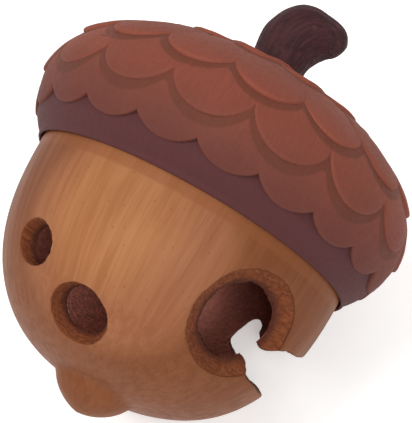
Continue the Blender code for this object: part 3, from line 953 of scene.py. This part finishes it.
class ACORN_OT_stem(bpy.types.Operator):
    """Builds the bent stem stub"""

    bl_idname = "acorn.stem"
    bl_label = "Stem stub"

    def execute(self, context):
        settings = in_millimetres(context.scene.acorn_stem)
        across = outward(FRONT_TURN + 0.5 * math.pi)
        front = outward(FRONT_TURN)
        axis = Vector((0.0, 0.0, 1.0))
        work = bmesh.new()
        grain = work.verts.layers.float_vector.new("grain")
        cut = work.verts.layers.float.new("cut")
        turn = work.verts.layers.float.new("turn")
        ring = bmesh.ops.create_circle(
            work, cap_ends=True, segments=settings.sides, radius=1.0
        )["verts"]
        for vert in ring:
            vert[turn] = math.atan2(vert.co.y, vert.co.x)
        end = next(iter(work.faces))
        travel = 0.0
        before = None
        sections = stem_sections(settings.steps)
        for number, (left, left_height, right, right_height) in enumerate(sections):
            if number:
                grown = bmesh.ops.extrude_face_region(
                    work, geom=[end, *end.edges, *end.verts], use_keep_orig=number == 1
                )["geom"]
                end = next(item for item in grown if isinstance(item, bmesh.types.BMFace))
            middle = 0.5 * (across * (left + right) + axis * (left_height + right_height))
            half = 0.5 * (across * (right - left) + axis * (right_height - left_height))
            travel += (middle - before).length if before else 0.0
            before = middle
            fade = smooth_step(0.0, 1.2, half.length)
            for vert in end.verts:
                circle = Vector((math.cos(vert[turn]), math.sin(vert[turn]), 0.0))
                spot = Vector((circle.x * 3.0, circle.y * 3.0, travel * 0.42))
                ridge = noise.noise(spot) + 0.5 * noise.noise(spot * 2.3)
                knob = noise.noise(Vector((circle.x, circle.y, travel * 0.35 + 3.0)))
                swell = 1 + fade * (settings.ridge * ridge + STEM_KNOBS * knob) / half.length
                ray = half * circle.x + front * half.length * circle.y
                vert.co = middle + ray * swell
                vert[grain] = (circle.x * half.length, circle.y * half.length, travel)
                vert[cut] = 1 - smooth_step(0.45, 0.8, half.length)
        bmesh.ops.recalc_face_normals(work, faces=work.faces)
        finished("acorn_stem", work, "stem", stem_material(settings))
        return {"FINISHED"}


# The stage.


def view_axes(settings):
    """The viewer's right, up and back directions in the shared frame."""
    azimuth, elevation = settings.azimuth, settings.elevation
    right = Vector((math.cos(azimuth), math.sin(azimuth), 0.0))
    back = Vector(
        (
            math.sin(azimuth) * math.cos(elevation), -math.cos(azimuth) * math.cos(elevation),
            math.sin(elevation),
        )
    )
    return right, back.cross(right), back


def add_lamp(name, place, target, size, watts, colour):
    """A round soft light that is aimed at the target."""
    data = bpy.data.lights.new(name, "AREA")
    data.shape = "DISK"
    data.size = size
    data.energy = watts
    data.color = colour
    lamp = bpy.data.objects.new(name, data)
    bpy.context.scene.collection.objects.link(lamp)
    lamp.location = place
    lamp.rotation_euler = (target - place).to_track_quat("-Z", "Y").to_euler()


class ACORN_OT_stage(bpy.types.Operator):
    """Lays the pale floor, the soft lights and the camera"""

    bl_idname = "acorn.stage"
    bl_label = "Stage"

    def execute(self, context):
        scene = context.scene
        settings = scene.acorn_stage
        ground = bmesh.new()
        bmesh.ops.create_grid(ground, x_segments=8, y_segments=8, size=FLOOR_REACH)
        bmesh.ops.translate(ground, verts=ground.verts, vec=(0.0, 0.0, -FLOOR_DROP))
        floor = loose_object("floor", ground)
        paper = Finish("floor_paper", Specular_IOR_Level=0.1, Emission_Strength=settings.glow)
        paper.shader.inputs["Emission Color"].default_value = (1.0, 1.0, 1.0, 1.0)
        place = paper.add("ShaderNodeTexCoord", {}, {}, "Object")
        tooth = paper.between(paper.noise(place, scale=900.0), 0.3, 0.7)
        pale = paper.mixed(tooth, settings.tooth, settings.paper)
        floor.data.materials.append(paper.connect(Base_Color=pale, Roughness=0.9))

        right, up, back = view_axes(settings)
        across = right * math.cos(PHOTO_LEAN) - up * math.sin(PHOTO_LEAN)
        along = right * math.sin(PHOTO_LEAN) + up * math.cos(PHOTO_LEAN)
        pixel = settings.width / PHOTO_SIDE
        target = own_to_row() @ Vector((0.0, 0.0, AXIS_POINT))
        target += (across * PHOTO_ACROSS - along * PHOTO_DOWN) * pixel
        data = bpy.data.cameras.new("camera")
        data.lens = settings.lens
        data.sensor_width = 36.0
        camera = bpy.data.objects.new("camera", data)
        scene.collection.objects.link(camera)
        distance = settings.width * settings.lens / data.sensor_width
        camera.location = target + back * distance
        camera.rotation_euler = back.to_track_quat("Z", "Y").to_euler()
        data.clip_start = 0.01
        data.clip_end = 20.0
        scene.camera = camera

        for name, (aside, above, behind), reach, size, tint in LAMPS:
            way = (right * aside + up * above + back * behind).normalized()
            place = LAMPS_AIM + way * reach
            add_lamp(name, place, LAMPS_AIM, size, getattr(settings, name), tint)
        world = bpy.data.worlds.new("studio")
        world.use_nodes = True
        sky = world.node_tree.nodes["Background"]
        sky.inputs["Color"].default_value = (1.0, 0.99, 0.98, 1.0)
        sky.inputs["Strength"].default_value = settings.sky
        scene.world = world
        scene.view_settings.view_transform = "Standard"
        scene.view_settings.look = "None"
        return {"FINISHED"}


class ACORN_PT_panel(bpy.types.Panel):
    """Lists the acorn's pieces and their settings"""

    bl_label = "Acorn"
    bl_idname = "ACORN_PT_panel"
    bl_space_type = "VIEW_3D"
    bl_region_type = "UI"
    bl_category = "Acorn"

    def draw(self, context):
        groups = (
            ("acorn.shell", context.scene.acorn_shell), ("acorn.cap", context.scene.acorn_cap),
            ("acorn.stem", context.scene.acorn_stem), ("acorn.stage", context.scene.acorn_stage),
        )
        for operator, settings in groups:
            box = self.layout.box()
            box.operator(operator)
            for name in settings.__annotations__:
                box.prop(settings, name)


SETTINGS = {
    "acorn_shell": AcornShellSettings,
    "acorn_cap": AcornCapSettings,
    "acorn_stem": AcornStemSettings,
    "acorn_stage": AcornStageSettings,
}
OPERATORS = (ACORN_OT_shell, ACORN_OT_cap, ACORN_OT_stem, ACORN_OT_stage)
CLASSES = (*SETTINGS.values(), *OPERATORS, ACORN_PT_panel)


def register():
    for made in CLASSES:
        bpy.utils.register_class(made)
    for name, group in SETTINGS.items():
        setattr(bpy.types.Scene, name, PointerProperty(type=group))


def unregister():
    for name in SETTINGS:
        delattr(bpy.types.Scene, name)
    for made in reversed(CLASSES):
        bpy.utils.unregister_class(made)


def main():
    register()
    bpy.ops.acorn.shell()
    bpy.ops.acorn.cap()
    bpy.ops.acorn.stem()
    bpy.ops.acorn.stage()


if __name__ == "__main__":
    main()
